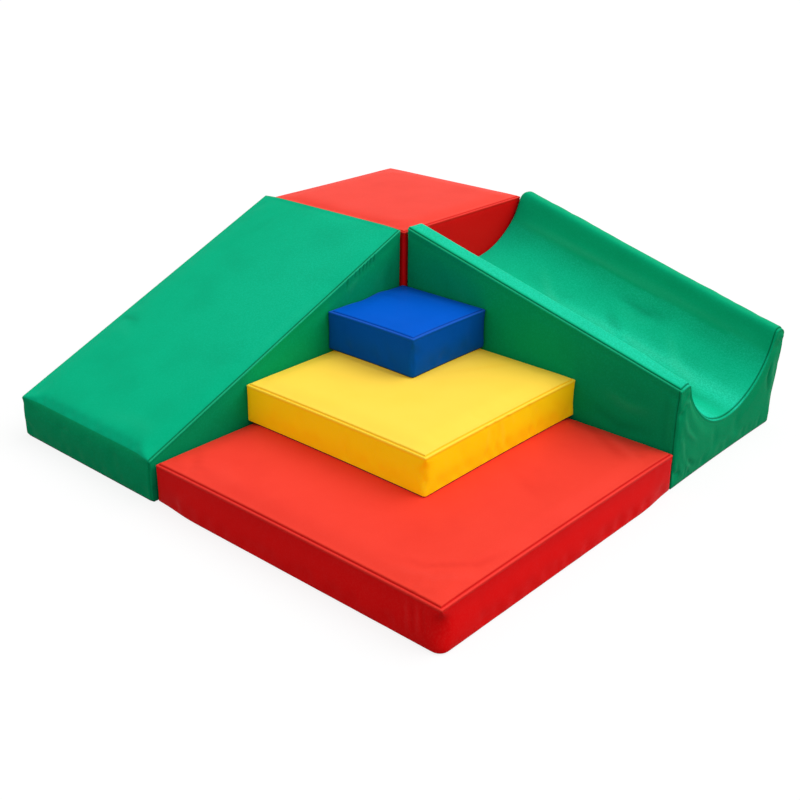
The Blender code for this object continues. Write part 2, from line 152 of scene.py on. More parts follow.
# Zips
COIL_PITCH = 0.0022
COIL_WIDTH = 0.0052
COIL_HEIGHT = 0.0008
COIL_LIFT = 0.00002  # of a bar's underside over the tape
COIL_END = 0.009  # bare tape at each end
COIL_FACETS = 6  # round one bar of the coil
COIL_SHARES = (0.0, 0.25, 0.5, 0.75, 1.0)  # of a bar's length, at its rings
WINDOW_DEPTH = 0.0010  # of the cover behind a zip
WINDOW_EDGE = 0.0004  # from a zip's tape to where the cover is pressed in
WINDOW_TURN = 0.0014  # over which it is
CROWDED = 0.003  # nearer than this to a window's edge, a lattice line gives way to it

# Camera, fitted to the photograph
CAMERA_TARGET = (0.1323, -0.1689, 0.1829)
CAMERA_AZIMUTH = 41.405
CAMERA_ELEVATION = 24.56
CAMERA_ROLL = 0.561
CAMERA_DISTANCE = 2.9933
CAMERA_LENS = 51.731
SENSOR_WIDTH = 36

# Studio
WORLD_FILL = 0.60
KEY_FROM = (0.435, 0.663, 1.0)
KEY_STRENGTH = 1.84
KEY_ANGLE = 55.0
FLOOR_COLOUR = (0.16, 0.16, 0.16)
FLOOR_GLOW = 0.85
FLOOR_LEVEL = -0.0006
FLOOR_REACH = 14.0

SIDES = ("south", "east", "north", "west")


# Shaping
def carried(values, known, wanted):
    """Smooth interpolation of rows of values from known places to wanted ones."""
    slope = np.gradient(values, known, axis=0)
    at = np.clip(np.searchsorted(known, wanted, side="right") - 1, 0, len(known) - 2)
    shape = (-1,) + (1,) * (values.ndim - 1)
    span = (known[at + 1] - known[at]).reshape(shape)
    t = (wanted - known[at]).reshape(shape) / span
    start = (1 + 2 * t) * (1 - t) ** 2 * values[at] + t * (1 - t) ** 2 * span * slope[at]
    end = t * t * (3 - 2 * t) * values[at + 1] + t * t * (t - 1) * span * slope[at + 1]
    return start + end


def round_corner(across, down, radius):
    """Bends the square corner between two faces to a radius, for points at these depths under them."""
    depth = np.minimum(across, down)
    along = np.abs(across - down)
    bend = np.maximum(radius - depth, 0)
    inside = along < bend
    turn = np.pi / 4 * (1 - along / np.where(bend > 0, bend, 1))
    far = depth + bend * (1 - np.sin(turn))
    near = depth + bend * (1 - np.cos(turn))
    wide = across >= down
    new_across = np.where(inside, np.where(wide, far, near), across)
    new_down = np.where(inside, np.where(wide, near, far), down)
    return new_across, new_down


def rows_between(length, step, beside, dense=()):
    """Places along a length: close beside both ends, even between, and finer where asked."""
    reach = beside[-1]
    count = max(2, round((length - 2 * reach) / step))
    even = np.linspace(reach, length - reach, count + 1)[1:-1]
    for start, end, finer in dense:
        even = even[(even < start - finer / 2) | (even > end + finer / 2)]
        even = np.sort(np.concatenate([even, np.arange(start, end + finer / 2, finer)]))
    even = even[(even > reach + 0.002) & (even < length - reach - 0.002)]
    near = np.array(beside)
    return np.concatenate([near, even, length - near[::-1]])


def with_places(places, wanted):
    """The places with the wanted ones put in for any that they crowd."""
    if not len(wanted):
        return places
    gaps = np.abs(places[:, None] - wanted[None]).min(1)
    return np.sort(np.concatenate([places[gaps >= CROWDED], wanted]))


def swell(place, start=0.0, run=1.0):
    """A smooth rise from 0 at the start to 1 at the end of the run."""
    place = np.clip((place - start) / run, 0, 1)
    return place * place * (3 - 2 * place)


def bell(distance, width):
    return np.exp(-((distance / width) ** 2))


def domed(place, length):
    """0 at both ends of a length, rising to 1 between them."""
    inward = np.minimum(place, length - place)
    return np.sin(np.pi / 2 * np.clip(inward / CROWN_REACH, 0, 1))


class Ripples:
    """A repeatable wavy line or field: a few sine waves of mixed lengths."""

    def __init__(self, seed, shortest, longest, waves=6, dimensions=1):
        chance = np.random.RandomState(seed)
        self.lengths = shortest * (longest / shortest) ** chance.rand(waves)
        self.phases = chance.rand(waves) * 2 * np.pi
        headings = chance.rand(waves) * 2 * np.pi
        self.headings = np.stack([np.cos(headings), np.sin(headings)], 1)
        self.dimensions = dimensions

    def __call__(self, *place):
        total = 0
        for length, phase, heading in zip(self.lengths, self.phases, self.headings):
            along = place[0] if self.dimensions == 1 else place[0] * heading[0] + place[1] * heading[1]
            total = total + np.sin(2 * np.pi * along / length + phase)
        return total / math.sqrt(len(self.lengths))


class Module:
    """One padded module: the box of its cover, its top surface, its edges and what is sewn into it."""

    name = ""
    body = ""
    vinyl = ""
    step = 0.015  # lattice spacing away from seams
    sewn = SIDES  # top edges with a seam
    ledge, drop, run = LEDGE, LEDGE_DROP, LEDGE_RUN
    dome = CROWN
    top_edges = dict(south=FOLD, east=FOLD, north=FOLD, west=FOLD)
    # radius in mm of each upright edge, just under the seam, half way down and at the foot
    uprights = dict(sw=(4, 8, 6), se=(4, 12, 6), ne=(4, 8, 4), nw=(6, 12, 10))
    upright_seams = ()  # walls with a seam down their east end
    drawn = ()  # free sides that pull in between their corners
    spread = 0.0  # how far the foot of its front sides stands out
    free = dict(south=0.003, east=0.003, top=0.003)  # how far filling may move a panel
    gathered = 1.0
    deepened = {}  # the folds of a side, by how much
    pale_bead = True  # painted highlight on the bead, along the east edge too
    dense_x, dense_s = (), ()  # where the lattice is finer: (start, end, spacing)
    carries = ""  # the module that rests on this one
    folds = ()  # (side, height, width, places along the line), in mm

    def __init__(self):
        low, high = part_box(f"{self.name}_cover")
        self.origin = np.array([low.x, low.y, low.z - FOOT])
        self.length_x = high.x - low.x
        self.length_y = high.y - low.y
        self.seed = sum(ord(letter) for letter in self.name)
        self.setup(high.z - self.origin[2])

    def setup(self, height):
        self.seam_height = height - self.dome

    def length_s(self):
        """Length of the top from the south edge to the north one, along its surface."""
        return self.length_y

    def section(self, s):
        """Of a point s along the top: place from the south, height over the plain top, and normal."""
        return s, np.zeros_like(s), np.zeros_like(s), np.ones_like(s)

    def crown(self, x, y):
        return self.dome * domed(x, self.length_x) * domed(y, self.length_y)

    def plain_top(self, x, y):
        return self.seam_height + self.crown(x, y)

    def edge_radius(self, side, x, y):
        return self.top_edges[side]

    def edge_rows(self):
        on_ledge = [self.ledge * share for share in (0, 0.2, 0.45, 0.7, 0.9)]
        falling = [self.ledge + self.run * share for share in (0.0, 0.33, 0.67, 1.0)]
        beyond = [self.ledge + self.run + more for more in (0.0015, 0.0040, 0.0080, 0.0150, 0.0260)]
        return on_ledge + falling + beyond

    def stitching(self, lattice):
        """Of the lattice's points: (distance from the nearest sewn edge, place along it)."""
        gaps = {
            "west": (lattice.x, lattice.s),
            "east": (self.length_x - lattice.x, lattice.s),
            "south": (lattice.s, lattice.x),
            "north": (self.length_s() - lattice.s, lattice.x),
        }
        inward, along = np.full(len(lattice.x), 1e3), np.zeros(len(lattice.x))
        for side in self.sewn:
            gap, place = gaps[side]
            along = np.where(gap < inward, place, along)
            inward = np.minimum(gap, inward)
        return inward, along

    def on_ledge(self, inward):
        """1 on the ledge outside a top, 0 on the top."""
        return 1 - swell(inward, self.ledge, self.run)

    def trim(self, lattice, y, down):
        return y

    def zip_window(self):
        """Of the zip's tape: its wall, and its ends along the wall and up it."""
        low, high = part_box(f"{self.name}_zipper")
        low, high = np.array(low) - self.origin, np.array(high) - self.origin
        wall, axis = ("north", 0) if high[0] - low[0] > high[1] - low[1] else ("west", 1)
        return wall, np.array([low[axis], high[axis]]), np.array([low[2], high[2]])

    def window_ends(self, wall):
        """Lattice places beside the ends of the zip's window."""
        side, ends, _ = self.zip_window()
        if side != wall:
            return np.zeros(0)
        out = np.array([-1, 1])
        places = np.concatenate([ends + out * WINDOW_EDGE, ends + out * (WINDOW_EDGE + WINDOW_TURN)])
        if wall == "north":
            return places
        known = np.linspace(0, self.length_s(), 2000)
        return np.interp(places, self.section(known)[0], known)

    def bulge(self, x, y, height):
        """How a shape of the module's own departs from the plain one: (y, height)."""
        return y, height

    def rubbed(self, lattice):
        """How much painted sheen, a paler colour mixed in, the vinyl takes here."""
        return np.zeros(len(lattice.x))

    def shaded(self, lattice):
        """Share of the side colour, which is painted shade: 1 on the side walls, 0 on the top, in between on
        the ledge outside the top.
        """
        on_ledge = 0.5 * self.on_ledge(self.stitching(lattice)[0])
        return np.where(lattice.on["top"], on_ledge, 0.5 + 0.5 * swell(lattice.down, 0.001, 0.006))

    def low_over(self, x, y):
        """The most height that a point may have where another module rests."""
        if not self.carries:
            return np.full_like(x, 1e3)
        low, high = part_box(f"{self.carries}_base_panel")
        past_x = np.maximum(low.x - self.origin[0] - x, x + self.origin[0] - high.x)
        past_y = np.maximum(low.y - self.origin[1] - y, y + self.origin[1] - high.y)
        past = np.maximum(past_x, past_y)
        return low.z - self.origin[2] - UNDER_STEP + 0.02 * swell(past, 0.004, 0.05)


class Lattice:
    """The surface of a module as panels of a grid that share their borders, and its shape at rest."""

    def __init__(self, module, step, beside, wall_rows, hem_rows, fine=False):
        self.module = module
        self.xs = rows_between(module.length_x, step, beside, module.dense_x if fine else ())
        self.ss = rows_between(module.length_s(), step, beside, module.dense_s if fine else ())
        if fine:
            self.xs = with_places(self.xs, module.window_ends("north"))
            self.ss = with_places(self.ss, module.window_ends("west"))
        tallest = float(np.max(module.plain_top(self.xs, 0 * self.xs + module.length_y)))
        tallest = max(tallest, float(np.max(module.plain_top(0 * self.ss, self.ss))))
        between = max(2, round((tallest - hem_rows[-1] - wall_rows[-1]) / step))
        shares = np.linspace(0, 1, between + 1)
        hem = np.array(hem_rows)
        upper = np.array(wall_rows)[::-1]
        # a row's level tells how far up it is: 0 to 1 over the hem, to 2 between, to 3 under the edge
        self.levels = np.concatenate([hem / hem[-1], 1 + shares[1:-1], 3 - upper / upper[0]])
        self.hem_top, self.edge_depth = hem[-1], upper[0]
        self.lay_out()
        self.shape()

    def lay_out(self):
        counts = (len(self.xs), len(self.ss), len(self.levels))
        surface = np.zeros(counts, bool)
        surface[:, :, 0] = surface[:, :, -1] = True
        surface[0], surface[-1] = True, True
        surface[:, 0], surface[:, -1] = True, True
        numbers = np.full(counts, -1)
        numbers[surface] = np.arange(surface.sum())
        across, along, up = np.nonzero(surface)
        self.x, self.s, self.level = self.xs[across], self.ss[along], self.levels[up]
        self.panels = {
            "bottom": numbers[:, :, 0],
            "top": numbers[:, :, -1],
            "south": numbers[:, 0, :],
            "north": numbers[:, -1, :],
            "west": numbers[0],
            "east": numbers[-1],
        }
        self.on = {side: np.zeros(len(self.x), bool) for side in self.panels}
        for side, panel in self.panels.items():
            self.on[side][panel.ravel()] = True
        self.ring = np.concatenate(
            [numbers[:-1, 0, 0], numbers[-1, :-1, 0], numbers[:0:-1, -1, 0], numbers[0, :0:-1, 0]]
        )

    def shape(self):
        module = self.module
        wide, deep = module.length_x, module.length_y
        x = self.x.copy()
        y, over, lean, rise = module.section(self.s)
        low = module.drop * module.on_ledge(module.stitching(self)[0])
        y, over = y - low * lean, over - low * rise
        top = module.plain_top(x, y) + over
        wall = ~self.on["top"]
        between = self.hem_top + (top - FOOT - self.hem_top - self.edge_depth) * (self.level - 1)
        high = top - FOOT - self.edge_depth * (3 - self.level)
        up = np.where(self.level <= 1, self.level * self.hem_top, np.where(self.level <= 2, between, high))
        down = np.where(wall, top - FOOT - up, 0)
        tuck = np.where(wall & (up < HEM), HEM - np.sqrt(np.maximum(HEM**2 - (HEM - up) ** 2, 0)), 0)
        tuck = np.where(self.on["bottom"], 0, tuck)
        x = np.where(self.on["bottom"], HEM + x * (wide - 2 * HEM) / wide, x)
        y = np.where(self.on["bottom"], HEM + y * (deep - 2 * HEM) / deep, y)
        x = np.where(self.on["west"], x + tuck, np.where(self.on["east"], x - tuck, x))
        y = np.where(self.on["south"], y + tuck, np.where(self.on["north"], y - tuck, y))
        y, down = round_corner(y, down, module.edge_radius("south", x, y))
        back, down = round_corner(deep - y, down, module.edge_radius("north", x, y))
        y = deep - back
        x, down = round_corner(x, down, module.edge_radius("west", x, y))
        back, down = round_corner(wide - x, down, module.edge_radius("east", x, y))
        x = wide - back
        height = module.plain_top(x, y) + over - down
        y = module.trim(self, y, down)
        self.down = np.where(wall, down, 0)
        x, y = self.round_uprights(x, y, down, height)
        height = np.where((self.level == 0) & ~self.inside(), FOOT - HEM_DROP, height)
        self.x_place, self.y_place = x, y
        y, height = module.bulge(x, y, height)
        self.points = np.stack([x, y, np.minimum(height, module.low_over(x, y))], 1)
        self.pull_sides()

    def inside(self):
        """The points of the bottom that lie within its hem."""
        return self.on["bottom"] & ~(self.on["south"] | self.on["north"] | self.on["west"] | self.on["east"])

    def round_uprights(self, x, y, down, height):
        wide, deep = self.module.length_x, self.module.length_y
        for corner, radii in self.module.uprights.items():
            under_seam, middle, foot = (radius / MM for radius in radii)
            east, north = "e" in corner, "n" in corner
            near = ((x > wide / 2) == east) & ((y > deep / 2) == north)
            radius = middle + (under_seam - middle) * (1 - swell(down, 0.003, 0.030))
            radius = radius + (foot - radius) * (1 - swell(height, run=0.040))
            across = wide - x if east else x
            along = deep - y if north else y
            across, along = round_corner(across, along, radius)
            x = np.where(near, wide - across if east else across, x)
            y = np.where(near, deep - along if north else along, y)
        return x, y

    def pull_sides(self):
        """Draws each free side in between its corners."""
        module = self.module
        wide, deep = module.length_x, module.length_y
        x, y = self.x_place, self.y_place
        for side in module.drawn:
            across = side in ("south", "north")
            share = (x / wide if across else y / deep) * 2 - 1
            inward = {"south": y, "north": deep - y, "west": x, "east": wide - x}[side]
            shift = DRAWN_IN * (1 - share**2)
            if module.spread:
                top = swell(self.points[:, 2], run=0.8 * module.seam_height)
                from_neighbour = x if across else deep - y
                shift = shift * top - module.spread * (1 - top) * swell(from_neighbour, run=0.15)
            shift = shift * np.exp(-inward / DRAWN_REACH)
            sign = 1 if side in ("south", "west") else -1
            self.points[:, 1 if across else 0] += sign * shift

    def faces(self):
        quads = []
        for side, panel in self.panels.items():
            a, b, c, d = panel[:-1, :-1], panel[1:, :-1], panel[1:, 1:], panel[:-1, 1:]
            order = (a, d, c, b) if side in ("north", "west", "bottom") else (a, b, c, d)
            quads += np.stack([corner.ravel() for corner in order], 1).tolist()
        return quads

    def columns(self, side):
        """The places that a panel's two directions are measured by."""
        first = self.ss if side in ("west", "east") else self.xs
        return first, self.ss if side in ("bottom", "top") else self.levels

    def carry_from(self, coarse, moves):
        """Takes a coarse lattice's moves over to this one's points."""
        mine = np.zeros_like(self.points)
        for side, panel in self.panels.items():
            known, wanted = coarse.columns(side), self.columns(side)
            part = carried(moves[coarse.panels[side]], known[0], wanted[0])
            part = carried(part.swapaxes(0, 1), known[1], wanted[1]).swapaxes(0, 1)
            mine[panel] = part
        return mine


def mesh_object(name, points, faces, smooth=True):
    data = bpy.data.meshes.new(name)
    data.from_pydata(points.tolist() if hasattr(points, "tolist") else points, [], faces)
    if smooth:
        data.shade_smooth()
    obj = bpy.data.objects.new(name, data)
    bpy.context.scene.collection.objects.link(obj)
    return obj


def normals_of(obj):
    flat = np.zeros(len(obj.data.vertices) * 3, np.float32)
    obj.data.vertex_normals.foreach_get("vector", flat)
    return flat.reshape(-1, 3).astype(float)


# Filling the covers
def filled(module):
    """How a cover moves when the foam fills it, on a coarse lattice: (lattice, moves)."""
    coarse = Lattice(module, CLOTH_STEP, SLACK_ROWS, SLACK_WALL_ROWS, SLACK_HEM_ROWS)
    obj = mesh_object(f"{module.name}_filling", coarse.points + module.origin, coarse.faces())
    held = obj.vertex_groups.new(name="held")
    seams = coarse.level >= 3
    seams &= coarse.on["south"] | coarse.on["north"] | coarse.on["west"] | coarse.on["east"]
    fixed = (coarse.level <= 0.001) | seams
    for side in SIDES:
        if side not in module.free:
            fixed |= coarse.on[side]
    held.add(np.nonzero(fixed)[0].tolist(), 1.0, "REPLACE")
    cloth = obj.modifiers.new("filling", "CLOTH")
    for key, value in CLOTH.items():
        setattr(cloth.settings, key, value)
    cloth.settings.vertex_group_mass = "held"
    cloth.settings.effector_weights.gravity = 0
    cloth.collision_settings.use_collision = False
    cloth.point_cache.frame_start = 1
    cloth.point_cache.frame_end = CLOTH_FRAMES
    scene = bpy.context.scene
    for step in range(1, CLOTH_FRAMES + 1):
        scene.frame_set(step)
    shaped = obj.evaluated_get(bpy.context.evaluated_depsgraph_get())
    flat = np.zeros(len(shaped.data.vertices) * 3, np.float32)
    shaped.data.vertices.foreach_get("co", flat)
    moves = flat.reshape(-1, 3) - (coarse.points + module.origin)
    data = obj.data
    bpy.data.objects.remove(obj)
    bpy.data.meshes.remove(data)
    scene.frame_set(1)
    return coarse, moves


def limits(module, lattice):
    """How far filling may move each point of a lattice."""
    limit = np.full(len(lattice.points), 1.0)
    for side in ("top",) + SIDES:
        limit = np.where(lattice.on[side], np.minimum(limit, module.free.get(side, HELD_STILL)), limit)
    return limit


def capped(module, coarse, moves):
    """Limits the moves on each panel, and keeps a cover clear of its neighbours."""
    limit = limits(module, coarse)
    size = np.linalg.norm(moves, axis=1)
    share = np.where(size > 0, limit * np.tanh(size / limit) / np.maximum(size, 1e-9), 1)
    beside = np.where(coarse.on["top"], module.stitching(coarse)[0], coarse.down)
    return moves * (share * swell(beside, SEAM_HOLD, SEAM_FADE))[:, None]


def clipped(module, lattice, moves):
    """The moves without what carrying them to finer points may have added to the limits."""
    size = np.linalg.norm(moves, axis=1)
    return moves * np.minimum(1, limits(module, lattice) / np.maximum(size, 1e-9))[:, None]


# Modules
class Corner(Module):
    name, body, vinyl, step = "corner", "corner_block", "red_vinyl", 0.018
    ledge, drop = 0.0050, 0.0020
    dome = 0.0050
    gathered = 0.2
    uprights = dict(sw=(4, 10, 6), se=(4, 12, 6), ne=(4, 12, 6), nw=(4, 16, 10))
    drawn = ("west",)
    free = dict(west=0.003, top=0.003)


class LowStep(Module):
    name, body, vinyl, step = "low_step", "low_step", "red_vinyl", 0.016
    carries = "middle_step"
    uprights = dict(sw=(4, 6, 3), se=(4, 30, 22), ne=(5, 10, 5), nw=(4, 10, 6))
    drawn = ("south", "east")
    spread = 0.010
    dense_x = ((0.795, 0.900, 0.005),)
    folds = (
        # soft upright folds beside the front corner
        ("south", 1.1, 6, (818, 100), (826, 60), (836, 16)),
        ("south", -1.2, 6, (833, 96), (842, 58), (853, 14)),
        ("south", 1.1, 6, (847, 100), (856, 60), (866, 18)),
        ("south", -1.2, 6.5, (862, 94), (871, 56), (880, 16)),
        ("south", 0.5, 10, (60, 20), (110, 60), (150, 85)),
        ("south", -0.5, 12, (500, 16), (520, 50), (530, 96)),
        # across the top, from the corner of the step above
        ("top", -1.4, 13, (655, 905), (730, 858), (850, 782)),
        ("top", 1.2, 12, (700, 900), (790, 850), (880, 800)),
        ("top", -0.5, 15, (640, 560), (740, 520), (850, 470)),
        ("top", -1.2, 11, (700, 60), (800, 90), (872, 165), (890, 260)),
        ("top", 1, 10, (750, 40), (840, 70), (900, 140)),
        ("top", -0.8, 10, (50, 90), (100, 55), (180, 35)),
        ("top", 0.5, 14, (120, 120), (190, 70), (280, 50)),
        ("east", -0.6, 9, (120, 14), (135, 50), (128, 96)),
        ("east", 0.4, 11, (300, 20), (322, 60), (330, 92)),
        ("east", -0.6, 9, (820, 18), (840, 55), (845, 94)),
    )


class MiddleStep(Module):
    name, body, vinyl, step = "middle_step", "middle_step", "yellow_vinyl", 0.014
    carries = "top_step"
    ledge, drop = 0.0058, 0.0030
    deepened = dict(east=1.8)
    uprights = dict(sw=(4, 6, 4), se=(4, 22, 8), ne=(5, 11, 2), nw=(4, 10, 8))
    drawn = ("south", "east")
    dense_s = ((0.205, 0.430, 0.006),)
    folds = (
        # gathers under the seam, with the soft folds that they send down
        ("east", -1.3, 5.5, (226, 104), (230, 94)),
        ("east", 0.9, 8, (243, 102), (238, 75), (228, 30)),
        ("east", -1, 5, (262, 104), (266, 94)),
        ("east", -0.7, 7.5, (276, 103), (280, 65), (272, 25)),
        ("east", 0.8, 8, (290, 100), (300, 60), (300, 20)),
        ("east", -1.3, 6, (314, 104), (318, 92)),
        ("east", 0.6, 7, (330, 98), (345, 70)),
        ("east", -1.1, 6, (402, 104), (410, 90)),
        ("east", 0.5, 9, (420, 96), (450, 70)),
        ("east", -0.7, 10, (500, 85), (560, 40)),
        ("east", 0.4, 10, (60, 20), (80, 60), (75, 95)),
        ("south", -0.5, 10, (100, 20), (110, 90)),
        ("south", 0.4, 14, (330, 16), (345, 90)),
        ("south", -0.7, 8, (540, 14), (548, 60), (546, 95)),
        # across the top, from the corner of the step above
        ("top", -0.8, 12, (330, 360), (400, 480), (460, 590)),
        ("top", 0.6, 14, (345, 330), (430, 420), (520, 540)),
        ("top", -0.7, 12, (310, 470), (350, 540), (380, 590)),
        ("top", 0.4, 15, (60, 60), (140, 40)),
    )


class TopStep(Module):
    name, body, vinyl, step = "top_step", "top_step", "blue_vinyl", 0.012
    ledge, drop, run = 0.0080, 0.0016, 0.0034
    dome = 0.0040
    uprights = dict(sw=(3, 6, 4), se=(3, 14, 10), ne=(10, 16, 12), nw=(4, 10, 8))
    drawn = ("south", "east")
    folds = (
        ("south", -0.6, 8, (290, 104), (285, 70)),
        ("south", 0.4, 12, (80, 20), (85, 70)),
        ("east", 0.5, 11, (240, 14), (225, 55), (235, 90)),
        ("top", -0.8, 12, (10, 190), (60, 200), (110, 190)),
        ("top", 0.4, 16, (60, 240), (150, 255), (240, 235)),
    )

    def bulge(self, x, y, height):
        """The back of the seam is puckered."""
        pucker = 0.0045 * bell(y - 0.205, 0.030) - 0.0025 * bell(y - 0.130, 0.030)
        return y, height + pucker * np.exp(-x / 0.025) * swell(height, 0.06, 0.04)


class Ramp(Module):
    """The wedge: its top is the slope, and its low end (south) has a soft lip."""

    name, body, vinyl, step = "ramp", "ramp", "green_vinyl", 0.016
    sewn = ("east", "west", "north")
    ledge, drop = 0.0052, 0.0026
    dome = 0.0036
    top_edges = dict(south=RAMP_LIP_SOFT, east=FOLD, north=FOLD, west=FOLD)
    uprights = dict(sw=(4, 6, 4), se=(3, 4, 3), ne=(4, 8, 6), nw=(4, 8, 6))
    free = dict(south=0.003, east=0.002, west=0.003, top=0.003)
    dense_s = ((0.690, 0.824, 0.0019),)
    folds = (
        # gathers under the seam of the slope's inner side
        ("east", -3.4, 3, (812, 459), (806, 434)),
        ("east", -3.4, 3, (797, 453), (790, 426)),
        ("east", -3.2, 3, (783, 447), (776, 421)),
        ("east", -3.2, 3, (768, 441), (762, 416)),
        ("east", -3, 3, (752, 434), (747, 410)),
        ("east", -2.6, 3.2, (735, 427), (730, 405)),
        ("east", -2.6, 3.8, (706, 414), (698, 388)),
        ("east", 1.4, 11, (744, 405), (700, 370)),
        ("east", -1.6, 13, (880, 420), (862, 370), (870, 330)),
        ("east", 0.5, 14, (845, 400), (800, 352)),
        # dents and soft waves of the slope
        ("top", -1.8, 13, (12, 330), (55, 345), (100, 330)),
        ("top", 0.6, 15, (20, 290), (80, 300), (130, 280)),
        ("top", -0.6, 12, (120, 760), (130, 840)),
        ("top", 0.5, 22, (300, 50), (420, 75), (520, 60)),
        ("top", 0.5, 12, (545, 300), (540, 480), (546, 640)),
    )

    def plain_top(self, x, y):
        return RAMP_LIP + RAMP_RISE * y - self.dome + self.dome * domed(x, self.length_x)

    def edge_radius(self, side, x, y):
        if side != "south":
            return self.top_edges[side]
        inward = np.minimum(x, self.length_x - x)
        return RAMP_LIP_SHARP + (RAMP_LIP_SOFT - RAMP_LIP_SHARP) * swell(inward, 0.006, 0.08)

    def rubbed(self, lattice):
        # painted sheen, growing towards the east side and the high end
        return np.where(lattice.on["top"], 0.16 * swell(lattice.x, run=0.5) * swell(lattice.s, run=0.7), 0)

    def trim(self, lattice, y, down):
        """The side seams run on down the low end."""
        low = self.drop * self.on_ledge(self.stitching(lattice)[0])
        return np.where(lattice.on["south"], y + low * swell(down, 0.002, 0.012), y)


class Slide(Module):
    """The slide: rims that fall to the east, with a half-round channel between them."""

    name, body, vinyl, step = "slide", "slide", "green_vinyl", 0.015
    sewn = ("south", "east")
    top_edges = dict(south=FOLD, east=FOLD, north=OUTER_RIM_RADIUS, west=0.003)
    uprights = dict(sw=(6, 9, 6), se=(3, 5, 4), ne=(4, 10, 4), nw=(5, 10, 6))
    upright_seams = ("south",)
    drawn = ("east",)
    free = dict(south=0.002, east=0.003, north=0.0008, top=0.0008)
    gathered = 0.2
    deepened = dict(east=1.4, top=1.5)
    pale_bead = False
    dense_s = ((0.034, 0.075, 0.006),)
    folds = (
        # creases that fan out from the inner low corner, and the fold beside the outer one
        ("east", 2.2, 6, (20, 238), (45, 232), (60, 240)),
        ("east", 1.6, 8, (20, 205), (50, 150), (110, 100)),
        ("east", 2.6, 8, (16, 150), (50, 80), (95, 22)),
        ("east", -2.4, 7.5, (28, 120), (66, 60), (125, 24)),
        ("east", -1.8, 6.5, (14, 80), (30, 40), (50, 14)),
        ("east", 3.4, 7.5, (535, 205), (528, 165), (543, 120)),
        ("east", -2.6, 8, (516, 190), (508, 150), (520, 105)),
        ("east", 1.8, 8, (540, 100), (530, 60)),
        ("east", -0.5, 20, (180, 80), (260, 60), (350, 75)),
        ("south", -1.4, 9, (872, 255), (866, 180), (874, 110)),
        ("south", 1.2, 15, (690, 215), (760, 190), (830, 196)),
        ("south", -1.6, 18, (640, 170), (740, 130), (850, 140)),
        ("south", 0.5, 20, (560, 250), (600, 190), (590, 140)),
        ("south", -0.5, 20, (130, 420), (160, 370), (150, 330)),
        ("south", 0.5, 16, (180, 400), (215, 345), (205, 300)),
        # along the outer rim and down the channel
        ("top", 1.2, 7.5, (15, 508), (300, 510), (880, 509)),
        ("top", 1.8, 20, (300, 190), (600, 205), (890, 230)),
        ("top", -1.4, 22, (350, 260), (640, 285), (895, 300)),
        ("top", 1.4, 20, (200, 340), (560, 350), (880, 362)),
        ("top", -1.4, 14, (420, 470), (520, 460), (600, 474)),
        # soft creases that run down across the channel from the rims
        ("top", 1.2, 16, (180, 430), (290, 330), (380, 270)),
        ("top", -1.4, 18, (430, 420), (520, 340), (640, 280)),
        ("top", 1.2, 17, (620, 440), (700, 360), (830, 300)),
    )

    def setup(self, height):
        opening = self.length_y - INNER_RIM - OUTER_RIM
        self.middle = INNER_RIM + opening / 2
        self.radius = (opening**2 / 4 + CHANNEL_DEPTH**2) / (2 * CHANNEL_DEPTH)
        lift = self.radius - CHANNEL_DEPTH + RIM_LIP
        reach = math.sqrt((self.radius + RIM_LIP) ** 2 - lift**2)
        self.turn = math.atan2(lift, reach)
        self.flat = self.middle - reach
        self.outer_flat = self.length_y - self.middle - reach
        self.lip_run = RIM_LIP * (math.pi / 2 - self.turn)
        self.channel_run = self.radius * (math.pi - 2 * self.turn)
        self.rim = height + RIM_FALL * FOLD

    def length_s(self):
        return self.flat + self.outer_flat + 2 * self.lip_run + self.channel_run

    def section(self, s):
        total = self.length_s()
        first = s <= self.flat + self.lip_run + self.channel_run / 2
        flat = np.where(first, self.flat, self.outer_flat)
        from_side = np.where(first, s, total - s)
        into = np.clip(from_side - flat, 0, self.lip_run) / RIM_LIP
        round_ = np.clip(from_side - flat - self.lip_run, 0, None) / self.radius
        y = np.minimum(from_side, flat) + RIM_LIP * np.sin(into)
        y = np.where(first, y, self.length_y - y)
        z = -RIM_LIP * (1 - np.cos(into))
        angle = math.pi + self.turn + round_
        in_channel = from_side > flat + self.lip_run
        sign = np.where(first, 1, -1)
        y = np.where(in_channel, self.middle + sign * self.radius * np.cos(angle), y)
        z = np.where(in_channel, self.radius - CHANNEL_DEPTH + self.radius * np.sin(angle), z)
        lean = np.where(in_channel, -np.cos(angle), np.sin(into))
        rise = np.where(in_channel, -np.sin(angle), np.cos(into))
        return y, z, sign * lean, rise

    def edge_radius(self, side, x, y):
        if side != "west":
            return self.top_edges[side]
        outer = swell(y, 0.42, 0.10)
        return self.top_edges["west"] + (OUTER_RIM_END - self.top_edges["west"]) * outer

    def bulge(self, x, y, height):
        """The outer rim leans out, and the inner one's edge flares at the low end."""
        share = np.clip(height / self.plain_top(x, y), 0, 1)
        along = x / self.length_x
        outward = RIM_BULGE_HIGH + (RIM_BULGE_LOW - RIM_BULGE_HIGH) * along
        over_channel = swell(y, 0.09, 0.34) * swell(share, run=0.9)
        flare = swell(along, 0.80, 0.20) * bell(y - INNER_RIM, 0.045) * swell(share, 0.3, 0.6)
        end = swell(along, 0.86, 0.14) * swell(share, 0.6, 0.4)
        on_rims = bell(y - 0.045, 0.030) + bell(y - 0.515, 0.030)
        higher = OUTER_RIM_RISE * swell(y, 0.43, 0.08) * swell(share, 0.3, 0.6)
        y = y + outward * over_channel - RIM_FLARE * flare
        return y, height + RIM_FLARE_RISE * end * on_rims + higher

